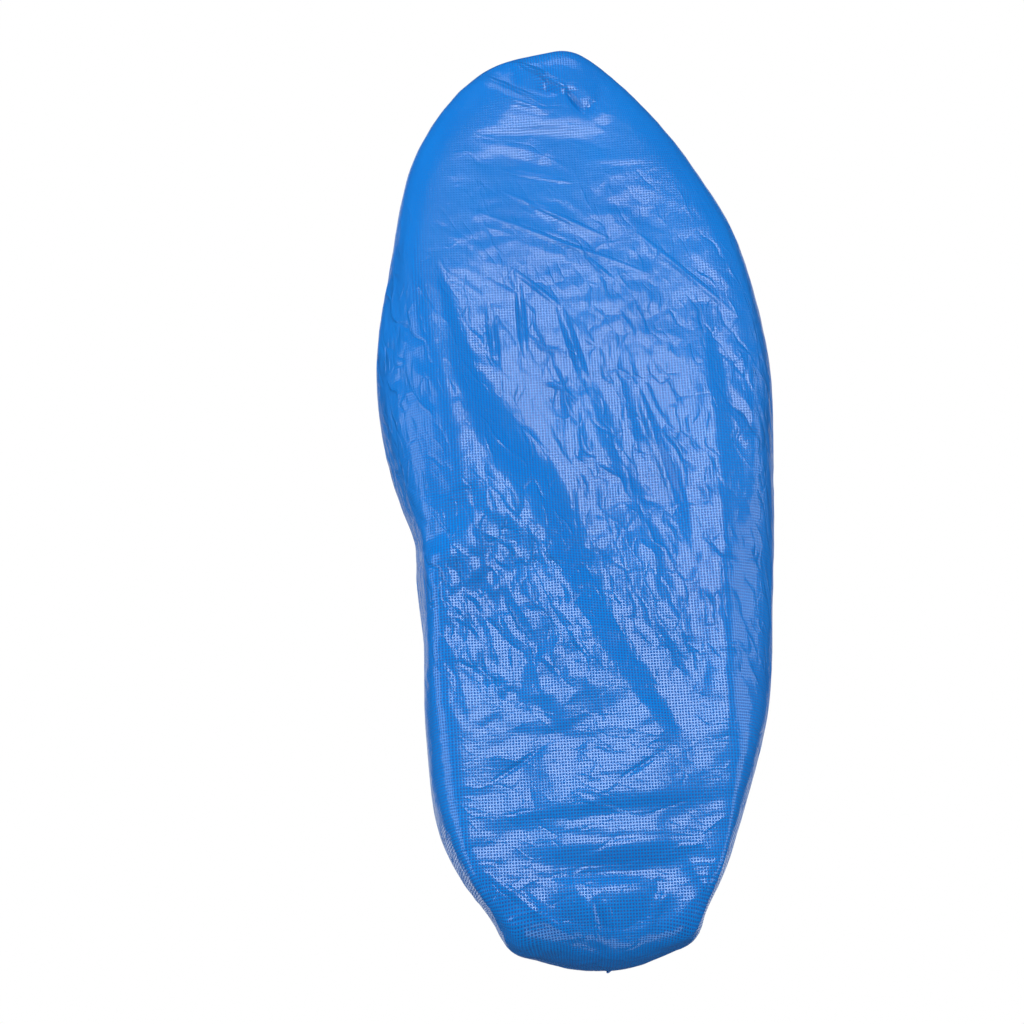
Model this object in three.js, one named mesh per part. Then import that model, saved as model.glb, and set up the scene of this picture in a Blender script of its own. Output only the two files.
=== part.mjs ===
import * as THREE from 'three';

// A disposable shoe cover of thin embossed blue film, with the shape it has on a shoe. The sole
// is down, the toe points to -Y and the opening to +Z. The origin is on the inner face of the
// sole, under the middle of the foot, where the shoe stands. Heights are above the outer sole.

// Driving dimensions in millimetres.
const coverLength = 356;        // front of the toe corner to the back of the heel
const coverWidth = 152;         // across the forefoot, at its widest
const widestHeight = 32;        // where the sides stand out furthest
const filmWall = 1;             // the film, thicker than the real 0.03 mm
const rimLength = 211;          // the opening, from heel to instep
const rimWidth = 76;
const rimBack = 153;            // back of the opening, behind the origin
const rimHeelHeight = 110;
const rimToeHeight = 88;
const rimSag = 4;               // how far the rim dips between heel and instep
const pleatCount = 24;          // gathers round the whole rim
const pleatDepth = 6;           // how far a gather stands out at the rim
const elasticWidth = 4;
const elasticThickness = 1.2;
const hemClearance = 0.3;       // round the elastic, inside the hem
const ruffleHeight = 1.6;       // how much the hem rises at each gather
const weldThickness = 1;        // the two films where they are welded together
const weldEdge = 3;             // free edge of film outside a weld
const cornerEar = 6;            // the same edge where it flares at the toe corner
const earLength = 40;           // how far up the toe weld the flare reaches
const pieceGap = 0.3;           // between pieces that touch
const foldDepth = 3;            // of the long folds under the sole
const foldHalf = 7;             // half the width of such a fold
const foldReach = 22;           // height at which the folds have died out

// Mesh steps. Each gather takes columnsPerPleat columns, and rowSteps are the rows from one
// section loop to the next.
const columnsPerPleat = 4;
const rowSteps = [3, 3, 1, 2, 2, 2, 2, 2, 2, 2];

// Half widths of the film's outlines, as shares of half the cover's width, or of half the rim's
// width for the rim, in equal steps of the half circle that runs from heel to toe. Left is -X.
const OUTLINES = [
  { treadLeft: 0.00, treadRight: 0.00, sideLeft: 0.00, sideRight: 0.00, rim: 0.00 },
  { treadLeft: 0.29, treadRight: 0.29, sideLeft: 0.31, sideRight: 0.25, rim: 0.33 },
  { treadLeft: 0.59, treadRight: 0.50, sideLeft: 0.57, sideRight: 0.48, rim: 0.59 },
  { treadLeft: 0.67, treadRight: 0.60, sideLeft: 0.77, sideRight: 0.65, rim: 0.78 },
  { treadLeft: 0.69, treadRight: 0.67, sideLeft: 0.82, sideRight: 0.82, rim: 0.91 },
  { treadLeft: 0.72, treadRight: 0.70, sideLeft: 0.81, sideRight: 0.90, rim: 0.98 },
  { treadLeft: 0.75, treadRight: 0.82, sideLeft: 0.90, sideRight: 0.96, rim: 1.00 },
  { treadLeft: 0.78, treadRight: 0.87, sideLeft: 1.00, sideRight: 0.99, rim: 0.97 },
  { treadLeft: 0.78, treadRight: 0.80, sideLeft: 0.93, sideRight: 0.90, rim: 0.88 },
  { treadLeft: 0.71, treadRight: 0.62, sideLeft: 0.82, sideRight: 0.69, rim: 0.72 },
  { treadLeft: 0.55, treadRight: 0.40, sideLeft: 0.62, sideRight: 0.44, rim: 0.52 },
  { treadLeft: 0.33, treadRight: 0.21, sideLeft: 0.38, sideRight: 0.21, rim: 0.28 },
  { treadLeft: 0.00, treadRight: 0.00, sideLeft: 0.00, sideRight: 0.00, rim: 0.00 },
];

// Section loops of the sole, from its middle line out to the widest line. toe and heel are the
// ends of the loop as shares of half the length, wide is a share of the outline, side blends the
// tread's outline into the side's, and the rises are shares of widestHeight.
const SOLE_LOOPS = [
  { toe: 0.660, heel: 0.720, wide: 0.0, side: 0.00, toeRise: 0.00, midRise: 0.00, heelRise: 0.00 },
  { toe: 0.790, heel: 0.850, wide: 0.5, side: 0.00, toeRise: 0.00, midRise: 0.00, heelRise: 0.00 },
  { toe: 0.885, heel: 0.945, wide: 1.0, side: 0.00, toeRise: 0.02, midRise: 0.00, heelRise: 0.00 },
  { toe: 0.955, heel: 0.982, wide: 1.0, side: 0.45, toeRise: 0.14, midRise: 0.12, heelRise: 0.12 },
  { toe: 1.000, heel: 0.996, wide: 1.0, side: 0.85, toeRise: 0.41, midRise: 0.45, heelRise: 0.42 },
  { toe: 0.925, heel: 1.000, wide: 1.0, side: 1.00, toeRise: 0.88, midRise: 1.00, heelRise: 1.00 },
];

// Section loops of the upper, from the widest line to the rim. Each value is how far the loop
// has gone from that line to the rim: upwards, and inwards at the toe, the heel and the sides.
const UPPER_LOOPS = [
  { up: 0.28, toeIn: 0.17, heelIn: 0.08, sideIn: 0.04 },
  { up: 0.54, toeIn: 0.38, heelIn: 0.26, sideIn: 0.17 },
  { up: 0.75, toeIn: 0.60, heelIn: 0.50, sideIn: 0.40 },
  { up: 0.90, toeIn: 0.81, heelIn: 0.76, sideIn: 0.70 },
  { up: 1.00, toeIn: 1.00, heelIn: 1.00, sideIn: 1.00 },
];

// Long folds of the slack film under the sole, each through three places. x is a share of half
// the width and y of half the length. deep and half are shares of foldDepth and foldHalf.
const FOLDS = [
  { x1: -0.67, y1: -0.39, x2: -0.21, y2: 0.12, x3: 0.30, y3: 0.53, deep: 1.0, half: 1.2 },
  { x1: -0.16, y1: -0.39, x2: 0.14, y2: 0.00, x3: 0.47, y3: 0.43, deep: 1.0, half: 1.0 },
  { x1: 0.29, y1: -0.14, x2: 0.46, y2: 0.03, x3: 0.53, y3: 0.26, deep: 0.8, half: 0.9 },
  { x1: 0.63, y1: -0.19, x2: 0.64, y2: 0.17, x3: 0.64, y3: 0.49, deep: 0.9, half: 0.9 },
  { x1: -0.43, y1: -0.87, x2: -0.22, y2: -0.86, x3: -0.03, y3: -0.84, deep: 1.0, half: 0.8 },
  { x1: -0.64, y1: -0.77, x2: -0.13, y2: -0.78, x3: 0.42, y3: -0.75, deep: 0.7, half: 0.8 },
  { x1: -0.53, y1: 0.74, x2: -0.20, y2: 0.72, x3: 0.50, y3: 0.69, deep: 0.9, half: 0.9 },
  { x1: -0.38, y1: 0.85, x2: -0.04, y2: 0.82, x3: 0.27, y3: 0.84, deep: 0.8, half: 0.7 },
];

const halfLength = coverLength / 2;
const halfWidth = coverWidth / 2;
const columns = pleatCount / 2 * columnsPerPleat;
const ringSize = 2 * columns;

function mix(a, b, share) {
  return a + (b - a) * share;
}

// A smooth curve through a column of OUTLINES. Past either end it goes on through the other
// side, so that the outline is round where it crosses the middle.
function outline(column, turn) {
  const last = OUTLINES.length - 1;
  const place = turn * last;
  const first = Math.min(Math.floor(place), last - 1);
  const value = (i) => {
    if (i < 0) return -OUTLINES[-i][column];
    if (i > last) return -OUTLINES[2 * last - i][column];
    return OUTLINES[i][column];
  };
  const [a, b, c, d] = [value(first - 1), value(first), value(first + 1), value(first + 2)];
  const s = place - first;
  const bend = (2 * a - 5 * b + 4 * c - d) * s * s + (3 * b - a - 3 * c + d) * s * s * s;
  return b + 0.5 * ((c - a) * s + bend);
}

// The places where one column of film crosses the section loops. side is -1 or 1, and turn runs
// from 0 at the heel seam to 1 at the toe seam.
function columnPlaces(side, turn) {
  const along = (1 - Math.cos(Math.PI * turn)) / 2;
  const ending = Math.pow(Math.abs(2 * along - 1), 4);
  const hand = side < 0 ? 'Left' : 'Right';
  const tread = outline('tread' + hand, turn);
  const flank = outline('side' + hand, turn);
  const places = SOLE_LOOPS.map((loop) => {
    const endRise = mix(loop.heelRise, loop.toeRise, along);
    return new THREE.Vector3(
      side * halfWidth * loop.wide * mix(tread, flank, loop.side),
      halfLength * mix(loop.heel, -loop.toe, along),
      widestHeight * mix(loop.midRise, endRise, ending) - filmWall,
    );
  });
  const widest = places[places.length - 1];
  const rimDip = rimSag * 4 * along * (1 - along);
  const rim = new THREE.Vector3(
    side * rimWidth / 2 * outline('rim', turn),
    rimBack - rimLength * along,
    mix(rimHeelHeight, rimToeHeight, along) - rimDip - filmWall,
  );
  for (const loop of UPPER_LOOPS) {
    places.push(new THREE.Vector3(
      mix(widest.x, rim.x, loop.sideIn),
      mix(widest.y, rim.y, mix(loop.sideIn, mix(loop.heelIn, loop.toeIn, along), ending)),
      mix(widest.z, rim.z, loop.up),
    ));
  }
  return places;
}

// How far a place of the sole is pushed up by the folds that pass near it.
function foldRise(x, y) {
  let rise = 0;
  const place = new THREE.Vector3(x, y, 0);
  const nearest = new THREE.Vector3();
  for (const fold of FOLDS) {
    const start = new THREE.Vector3(fold.x1 * halfWidth, fold.y1 * halfLength, 0);
    const middle = new THREE.Vector3(fold.x2 * halfWidth, fold.y2 * halfLength, 0);
    const end = new THREE.Vector3(fold.x3 * halfWidth, fold.y3 * halfLength, 0);
    let away = Infinity;
    for (const line of [new THREE.Line3(start, middle), new THREE.Line3(middle, end)]) {
      line.closestPointToPoint(place, true, nearest);
      away = Math.min(away, nearest.distanceTo(place));
    }
    const reach = away / (foldHalf * fold.half);
    rise += foldDepth * fold.deep * Math.exp(-reach * reach);
  }
  return rise;
}

// The rows of the film, each as its place along the section loops.
function rowPlaces() {
  const places = [0];
  rowSteps.forEach((steps, segment) => {
    for (let step = 1; step <= steps; step += 1) places.push(segment + step / steps);
  });
  return places;
}

// The film's rings before it is gathered and folded, from the sole's middle line to the rim.
// Each ring starts at the heel seam and runs round by the left side and the toe.
function smoothRings() {
  const rows = rowPlaces();
  const rings = rows.map(() => []);
  for (let j = 0; j < ringSize; j += 1) {
    const side = j <= columns ? -1 : 1;
    const turn = (j <= columns ? j : ringSize - j) / columns;
    const curve = new THREE.CatmullRomCurve3(columnPlaces(side, turn));
    rows.forEach((place, row) => rings[row].push(curve.getPoint(place / rowSteps.length)));
  }
  return rings;
}

// The same rings with the gathers, which grow towards the rim, and the folds of the sole.
function filmRings(smooth) {
  const rows = rowPlaces();
  const widestRow = SOLE_LOOPS.length - 1;
  return smooth.map((ring, row) => {
    const gather = Math.max(0, (rows[row] - widestRow) / UPPER_LOOPS.length);
    const outward = outwardAlong(ring);
    return ring.map((place, j) => {
      const point = place.clone();
      point.addScaledVector(outward[j], pleatAt(j) * Math.pow(gather, 1.5));
      const fading = THREE.MathUtils.clamp(1 - point.z / foldReach, 0, 1);
      point.z += foldRise(point.x, point.y) * fading;
      return point;
    });
  });
}

// How far the gather at ring place j stands out at the rim.
function pleatAt(j) {
  return pleatDepth * (1 + Math.cos(2 * Math.PI * j / columnsPerPleat)) / 2;
}

// The level directions out of a ring, one for each of its points.
function outwardAlong(ring) {
  return ring.map((point, j) => {
    const before = ring[(j + ring.length - 1) % ring.length];
    const after = ring[(j + 1) % ring.length];
    const out = new THREE.Vector3(after.y - before.y, before.x - after.x, 0);
    return out.length() > 0 ? out.normalize() : out;
  });
}

function geometryFrom(points, faces) {
  const geometry = new THREE.BufferGeometry();
  geometry.setAttribute('position', new THREE.Float32BufferAttribute(points, 3));
  geometry.setIndex(faces);
  geometry.computeVertexNormals();
  return geometry;
}

// The film: an outer skin over the rings, an inner skin a wall's thickness inside it, and a
// strip that joins them at the rim. The first ring is a line, so its two halves share points.
function shellGeometry(rings) {
  const outer = [];
  const faces = [];
  const lineSize = columns + 1;
  rings[0].slice(0, lineSize).forEach((point) => outer.push(...point.toArray()));
  rings.slice(1).forEach((ring) => ring.forEach((point) => outer.push(...point.toArray())));
  const at = (row, j) => {
    const around = j % ringSize;
    if (row === 0) return around <= columns ? around : ringSize - around;
    return lineSize + (row - 1) * ringSize + around;
  };
  for (let row = 0; row < rings.length - 1; row += 1) {
    for (let j = 0; j < ringSize; j += 1) {
      const [a, b, c, d] = [at(row, j), at(row, j + 1), at(row + 1, j + 1), at(row + 1, j)];
      faces.push(a, b, c, a, c, d);
    }
  }
  const skin = geometryFrom(outer, faces);
  const normals = skin.getAttribute('normal');
  const inner = outer.map((value, i) => value - filmWall * normals.array[i]);
  const count = outer.length / 3;
  const turned = [];
  for (let i = 0; i < faces.length; i += 3) {
    turned.push(faces[i] + count, faces[i + 2] + count, faces[i + 1] + count);
  }
  const rimRow = rings.length - 1;
  const rimFaces = [];
  for (let j = 0; j < ringSize; j += 1) {
    const [a, b] = [at(rimRow, j), at(rimRow, j + 1)];
    rimFaces.push(a, b, b + count, a, b + count, a + count);
  }
  return geometryFrom([...outer, ...inner], [...faces, ...turned, ...rimFaces]);
}

// A closed ring with the section sections[j] at each place j. Sections turn the same way.
function ringGeometry(sections) {
  const points = sections.flat().flatMap((point) => point.toArray());
  const faces = [];
  const size = sections[0].length;
  const at = (j, k) => (j % sections.length) * size + k % size;
  for (let j = 0; j < sections.length; j += 1) {
    for (let k = 0; k < size; k += 1) {
      const [a, b, c, d] = [at(j, k), at(j + 1, k), at(j + 1, k + 1), at(j, k + 1)];
      faces.push(a, b, c, a, c, d);
    }
  }
  return geometryFrom(points, faces);
}

// Section points given as [out, up] from a place of the rim.
function sectionAt(place, outward, shape) {
  return shape.map(([out, up]) => {
    const point = place.clone().addScaledVector(outward, out);
    point.z += up;
    return point;
  });
}

const smooth = smoothRings();
const rings = filmRings(smooth);
// The rim as it would be with no gathers. The elastic follows it.
const drawnRim = smooth[smooth.length - 1];
const rimOutward = outwardAlong(drawnRim);

// The hem: the film's edge, turned inwards over the elastic and down again, gathered.
function hemGeometry() {
  const cavity = elasticThickness + 2 * hemClearance;
  const cavityTop = pieceGap + elasticWidth + 2 * hemClearance;
  const sections = drawnRim.map((place, j) => {
    const outerFace = pleatAt(j);
    const innerFace = -2 * filmWall - cavity - pleatAt(j) / 2;
    const rise = ruffleHeight * pleatAt(j) / pleatDepth;
    const top = cavityTop + filmWall + rise;
    return sectionAt(place, rimOutward[j], [
      [outerFace, pieceGap],
      [outerFace + filmWall * pleatAt(j) / pleatDepth, (pieceGap + top) / 2],
      [outerFace, top],
      [innerFace, top],
      [innerFace, pieceGap],
      [innerFace + filmWall, pieceGap],
      [innerFace + filmWall, top - filmWall],
      [outerFace - filmWall, top - filmWall],
      [outerFace - filmWall, pieceGap],
    ]);
  });
  return ringGeometry(sections);
}

function elasticGeometry() {
  const outerFace = -filmWall - hemClearance;
  const innerFace = outerFace - elasticThickness;
  const bottom = pieceGap + hemClearance;
  const top = bottom + elasticWidth;
  return ringGeometry(drawnRim.map((place, j) => sectionAt(place, rimOutward[j], [
    [outerFace, bottom],
    [outerFace, top],
    [innerFace, top],
    [innerFace, bottom],
  ])));
}

// A weld: the free edges of the two films, standing out from the seam as one thin fin. edgeAt
// gives its height, from the distance along the seam.
function weldGeometry(seam, edgeAt) {
  let travelled = 0;
  const sections = seam.map((point, i) => {
    const before = seam[Math.max(i - 1, 0)];
    const after = seam[Math.min(i + 1, seam.length - 1)];
    const along = new THREE.Vector3(0, after.y - before.y, after.z - before.z).normalize();
    const out = new THREE.Vector3(0, along.z, -along.y);
    if (out.y * point.y < 0) out.negate();
    if (i > 0) travelled += point.distanceTo(before);
    const root = point.clone().addScaledVector(out, pieceGap);
    const edge = root.clone().addScaledVector(out, edgeAt(travelled));
    const half = new THREE.Vector3(weldThickness / 2, 0, 0);
    return [root.clone().sub(half), root.clone().add(half), edge.clone().add(half), edge.sub(half)];
  });
  const points = sections.flat().flatMap((point) => point.toArray());
  const turned = seam[0].y < 0 ? 1 : -1;
  const faces = [];
  const addFace = (...corners) => faces.push(...(turned > 0 ? corners : corners.reverse()));
  for (let i = 0; i < sections.length - 1; i += 1) {
    for (let k = 0; k < 4; k += 1) {
      const [a, b] = [4 * i + k, 4 * i + (k + 1) % 4];
      addFace(a, a + 4, b + 4);
      addFace(a, b + 4, b);
    }
  }
  const last = 4 * (sections.length - 1);
  addFace(0, 1, 2);
  addFace(0, 2, 3);
  addFace(last, last + 2, last + 1);
  addFace(last, last + 3, last + 2);
  return geometryFrom(points, faces);
}

// The welds run from the corner of the sole to just under the hem.
const cornerRow = rowSteps.slice(0, SOLE_LOOPS.length - 2).reduce((sum, steps) => sum + steps, 0);
const toeSeam = rings.slice(cornerRow).map((ring) => ring[columns]);
const heelSeam = rings.slice(cornerRow).map((ring) => ring[0]);
const toeEdge = (travelled) => {
  const flare = THREE.MathUtils.clamp(1 - travelled / earLength, 0, 1);
  return mix(weldEdge, cornerEar, flare * flare);
};

const film = { color: 0x1f74cc, roughness: 0.34, metalness: 0 };
const rubber = { color: 0xe9edf2, roughness: 0.75, metalness: 0 };
const cover = new THREE.Group();

function addPiece(name, geometry, finish) {
  const piece = new THREE.Mesh(geometry, new THREE.MeshStandardMaterial(finish));
  piece.name = name;
  cover.add(piece);
}

addPiece('film_shell', shellGeometry(rings), film);
addPiece('hem_casing', hemGeometry(), film);
addPiece('elastic_band', elasticGeometry(), rubber);
addPiece('toe_seam', weldGeometry(toeSeam, toeEdge), film);
addPiece('heel_seam', weldGeometry(heelSeam, () => weldEdge), film);

export default cover;
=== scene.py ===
import math

import bmesh
import bpy
import numpy as np
from mathutils import Matrix, Vector
from numpy.linalg import norm


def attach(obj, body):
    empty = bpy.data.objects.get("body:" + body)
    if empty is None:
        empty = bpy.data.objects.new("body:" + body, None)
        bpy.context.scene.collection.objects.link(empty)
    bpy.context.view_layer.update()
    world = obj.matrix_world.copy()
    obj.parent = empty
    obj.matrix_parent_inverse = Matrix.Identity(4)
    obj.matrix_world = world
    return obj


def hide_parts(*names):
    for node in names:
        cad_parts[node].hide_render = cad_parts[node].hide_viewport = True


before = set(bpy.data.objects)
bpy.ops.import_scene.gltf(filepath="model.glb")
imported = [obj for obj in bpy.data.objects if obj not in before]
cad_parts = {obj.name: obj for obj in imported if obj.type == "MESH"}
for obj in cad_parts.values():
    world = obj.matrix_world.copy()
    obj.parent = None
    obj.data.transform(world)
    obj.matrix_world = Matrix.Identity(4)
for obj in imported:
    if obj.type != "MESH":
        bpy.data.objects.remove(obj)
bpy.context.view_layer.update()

# The camera, which looks up at the sole as the photograph does, with the toe at the top.
MM = 0.001
PHOTO_SIZE = 1024
FOCAL_PX = 1886
SENSOR_MM = 36
CAMERA_DISTANCE = 0.70
CAMERA_TARGET = Vector((-0.0265, 0.0115, 0.015))
SOLE_LEAN = math.radians(18)
CAMERA_ROLL = math.radians(-3.1)

view_ahead = Vector((0, -math.sin(SOLE_LEAN), math.cos(SOLE_LEAN)))
level_up = Vector((0, -math.cos(SOLE_LEAN), -math.sin(SOLE_LEAN)))
level_right = Vector((1, 0, 0))
view_right = level_right * math.cos(CAMERA_ROLL) + level_up * math.sin(CAMERA_ROLL)
view_up = level_up * math.cos(CAMERA_ROLL) - level_right * math.sin(CAMERA_ROLL)
camera_place = CAMERA_TARGET - view_ahead * CAMERA_DISTANCE

scene = bpy.context.scene
camera_data = bpy.data.cameras.new("camera")
camera_data.sensor_width = SENSOR_MM
camera_data.lens = FOCAL_PX / PHOTO_SIZE * SENSOR_MM
camera = bpy.data.objects.new("camera", camera_data)
camera.matrix_world = Matrix.Translation(camera_place) @ Matrix(
    (view_right, view_up, -view_ahead)).transposed().to_4x4()
scene.collection.objects.link(camera)
scene.camera = camera


# The film shell: one sheet of blue polyethylene film, embossed with small squares, folded
# along the middle of the sole and welded up the toe and the heel. On a foot it is drawn smooth
# at the sides, lies slack and crumpled under the sole, and is gathered towards the opening.
# These are the sizes of the form, in mm.
COVER_LENGTH = 356
COVER_WIDTH = 152
WIDEST_HEIGHT = 32
SOLE_DROP = 1                # the outer face of the sole is this far under the origin
RIM_LENGTH = 211
RIM_WIDTH = 76
RIM_BACK = 153
RIM_HEEL_HEIGHT = 110
RIM_TOE_HEIGHT = 88
RIM_SAG = 4
FILM_THICKNESS = 0.3         # thicker than the real film, which is about 0.03
COLUMNS = 250                # from the heel weld to the toe weld
SOLE_ROWS = 58               # from the middle of the sole to the edge of the tread
WALL_ROWS = 38               # from there to the rim
WELD_WITHIN = 0.02           # how near vertices are joined
TURN_SAMPLES = 2001          # places at which the smooth curves are measured
ROW_SAMPLES = 1001
ANGLE_SAMPLES = 2401

# Half widths of the outlines, as shares of half the cover's width, or of half the rim's width,
# in equal steps of the half circle from heel to toe. Left is -X.
OUTLINES = [
    dict(tread_left=0.00, tread_right=0.00, side_left=0.00, side_right=0.00, rim=0.00),
    dict(tread_left=0.29, tread_right=0.29, side_left=0.31, side_right=0.25, rim=0.33),
    dict(tread_left=0.59, tread_right=0.50, side_left=0.57, side_right=0.48, rim=0.59),
    dict(tread_left=0.67, tread_right=0.60, side_left=0.77, side_right=0.65, rim=0.78),
    dict(tread_left=0.69, tread_right=0.67, side_left=0.82, side_right=0.82, rim=0.91),
    dict(tread_left=0.72, tread_right=0.70, side_left=0.81, side_right=0.90, rim=0.98),
    dict(tread_left=0.75, tread_right=0.82, side_left=0.90, side_right=0.96, rim=1.00),
    dict(tread_left=0.78, tread_right=0.87, side_left=1.00, side_right=0.99, rim=0.97),
    dict(tread_left=0.78, tread_right=0.80, side_left=0.93, side_right=0.90, rim=0.88),
    dict(tread_left=0.71, tread_right=0.62, side_left=0.82, side_right=0.69, rim=0.72),
    dict(tread_left=0.55, tread_right=0.40, side_left=0.62, side_right=0.44, rim=0.52),
    dict(tread_left=0.33, tread_right=0.21, side_left=0.38, side_right=0.21, rim=0.28),
    dict(tread_left=0.00, tread_right=0.00, side_left=0.00, side_right=0.00, rim=0.00),
]

# Section loops of the sole, out to the widest line. toe and heel are shares of half the length,
# wide is a share of the outline, side blends the tread's outline into the side's, and the
# rises are shares of WIDEST_HEIGHT.
SOLE_LOOPS = [
    dict(toe=0.660, heel=0.720, wide=0.0, side=0.00, toe_rise=0.00, mid_rise=0.00, heel_rise=0.00),
    dict(toe=0.790, heel=0.850, wide=0.5, side=0.00, toe_rise=0.00, mid_rise=0.00, heel_rise=0.00),
    dict(toe=0.885, heel=0.945, wide=1.0, side=0.00, toe_rise=0.02, mid_rise=0.00, heel_rise=0.00),
    dict(toe=0.955, heel=0.982, wide=1.0, side=0.45, toe_rise=0.14, mid_rise=0.12, heel_rise=0.12),
    dict(toe=1.000, heel=0.996, wide=1.0, side=0.85, toe_rise=0.41, mid_rise=0.45, heel_rise=0.42),
    dict(toe=0.925, heel=1.000, wide=1.0, side=1.00, toe_rise=0.88, mid_rise=1.00, heel_rise=1.00),
]

# Section loops of the upper: how far each has gone from the widest line to the rim, upwards,
# and inwards at the toe, the heel and the sides.
UPPER_LOOPS = [
    dict(up=0.28, toe_in=0.17, heel_in=0.08, side_in=0.04),
    dict(up=0.54, toe_in=0.38, heel_in=0.26, side_in=0.17),
    dict(up=0.75, toe_in=0.60, heel_in=0.50, side_in=0.40),
    dict(up=0.90, toe_in=0.81, heel_in=0.76, side_in=0.70),
    dict(up=1.00, toe_in=1.00, heel_in=1.00, side_in=1.00),
]
TREAD_LOOP = 2
CORNER_LOOP = 4
RIM_LOOP = len(SOLE_LOOPS) + len(UPPER_LOOPS) - 1


def mix(a, b, share):
    return a + (b - a) * share


def outline(column, turn):
    """A smooth curve through a column of OUTLINES, round where it crosses the middle."""
    values = np.array([row[column] for row in OUTLINES])
    padded = np.concatenate(([-values[1]], values, [-values[-2]]))
    place = turn * (len(values) - 1)
    first = np.minimum(place.astype(int), len(values) - 2)
    s = place - first
    a, b, c, d = (padded[first + i] for i in range(4))
    bend = (2 * a - 5 * b + 4 * c - d) * s ** 2 + (3 * b - a - 3 * c + d) * s ** 3
    return b + 0.5 * ((c - a) * s + bend)


def loop_places(side, turn):
    """Where the columns of film cross the section loops, in mm. side is -1 or 1, and turn runs
    from 0 at the heel weld to 1 at the toe weld."""
    along = (1 - np.cos(np.pi * turn)) / 2
    ending = np.abs(2 * along - 1) ** 4
    hand = "left" if side < 0 else "right"
    tread = outline("tread_" + hand, turn)
    flank = outline("side_" + hand, turn)
    places = []
    for loop in SOLE_LOOPS:
        end_rise = mix(loop["heel_rise"], loop["toe_rise"], along)
        places.append(np.stack([
            side * COVER_WIDTH / 2 * loop["wide"] * mix(tread, flank, loop["side"]),
            COVER_LENGTH / 2 * mix(loop["heel"], -loop["toe"], along),
            WIDEST_HEIGHT * mix(loop["mid_rise"], end_rise, ending) - SOLE_DROP,
        ], axis=-1))
    widest = places[-1]
    rim_dip = RIM_SAG * 4 * along * (1 - along)
    rim = np.stack([
        side * RIM_WIDTH / 2 * outline("rim", turn),
        RIM_BACK - RIM_LENGTH * along,
        mix(RIM_HEEL_HEIGHT, RIM_TOE_HEIGHT, along) - rim_dip - SOLE_DROP,
    ], axis=-1)
    for loop in UPPER_LOOPS:
        end_in = mix(loop["heel_in"], loop["toe_in"], along)
        places.append(np.stack([
            mix(widest[:, 0], rim[:, 0], loop["side_in"]),
            mix(widest[:, 1], rim[:, 1], mix(loop["side_in"], end_in, ending)),
            mix(widest[:, 2], rim[:, 2], loop["up"]),
        ], axis=-1))
    return np.stack(places, axis=1)


def through_loops(loops, row):
    """Where the smooth curve of each column is at a row, from 0 at the middle of the sole to
    RIM_LOOP at the rim."""
    first = min(int(row), RIM_LOOP - 1)
    s = row - first
    b, c = loops[:, first], loops[:, first + 1]
    a = loops[:, first - 1] if first > 0 else 2 * b - c
    d = loops[:, first + 2] if first + 2 <= RIM_LOOP else 2 * c - b
    ab, bc, cd = (norm(q - p, axis=1)[:, None] ** 0.5 for p, q in ((a, b), (b, c), (c, d)))
    leave = ((b - a) / ab - (c - a) / (ab + bc) + (c - b) / bc) * bc
    reach = ((c - b) / bc - (d - b) / (bc + cd) + (d - c) / cd) * bc
    bend = (3 * (c - b) - 2 * leave - reach) * s ** 2 + (2 * (b - c) + leave + reach) * s ** 3
    return b + leave * s + bend


def lengths_along(points):
    """The length of a line of places up to each place."""
    return np.concatenate(([0], np.cumsum(norm(np.diff(points, axis=0), axis=1))))


def even_steps(points, values, count):
    """count + 1 of the values that a line of places carries, at equal lengths along it."""
    length = lengths_along(points)
    return np.interp(np.linspace(0, length[-1], count + 1), length, values)


fine_turns = np.linspace(0, 1, TURN_SAMPLES)
turns = even_steps(loop_places(-1, fine_turns)[:, TREAD_LOOP + 1], fine_turns, COLUMNS)
middle_column = loop_places(-1, np.array([0.5]))
fine_rows = np.linspace(0, RIM_LOOP, ROW_SAMPLES)
middle_line = np.array([through_loops(middle_column, row)[0] for row in fine_rows])
on_sole = fine_rows <= TREAD_LOOP
sole_rows = even_steps(middle_line[on_sole], fine_rows[on_sole], SOLE_ROWS)
wall_rows = even_steps(middle_line[~on_sole], fine_rows[~on_sole], WALL_ROWS)
wall_rows[0] = TREAD_LOOP
half_rows = np.concatenate((sole_rows, wall_rows[1:]))
HALF = SOLE_ROWS + WALL_ROWS


def half_film(side):
    """One half of the smooth film, as columns of places from the sole to the rim."""
    loops = loop_places(side, turns)
    return np.stack([through_loops(loops, row) for row in half_rows], axis=1)


def level_out(line, side):
    """The level direction out of the cover at each place of a line from heel to toe."""
    along = np.gradient(line[:, :2], axis=0)
    out = side * np.stack([-along[:, 1], along[:, 0]], axis=1)
    out[0] = (0, 1)
    out[-1] = (0, -1)
    return out / norm(out, axis=1)[:, None]


def flat_places(half, side):
    """Where each place of a half lies on the film when it is spread flat round the tread."""
    edge = half[:, SOLE_ROWS, None, :2]
    out = level_out(half[:, SOLE_ROWS], side)[:, None]
    steps = norm(np.diff(half[:, SOLE_ROWS:], axis=1), axis=2)
    travelled = np.zeros(half.shape[:2])
    travelled[:, SOLE_ROWS + 1:] = np.cumsum(steps, axis=1)
    flat = half[:, :, :2].copy()
    spread = edge + out * travelled[:, :, None]
    wall = slice(SOLE_ROWS + 1, None)
    flat[:, wall] = mix(flat, spread, out ** 2)[:, wall]
    return flat


def both_halves(left, right):
    """Joins arrays of the two halves, from the left rim across the sole to the right rim."""
    return np.concatenate((left[:, ::-1], right[:, 1:]), axis=1)


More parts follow.
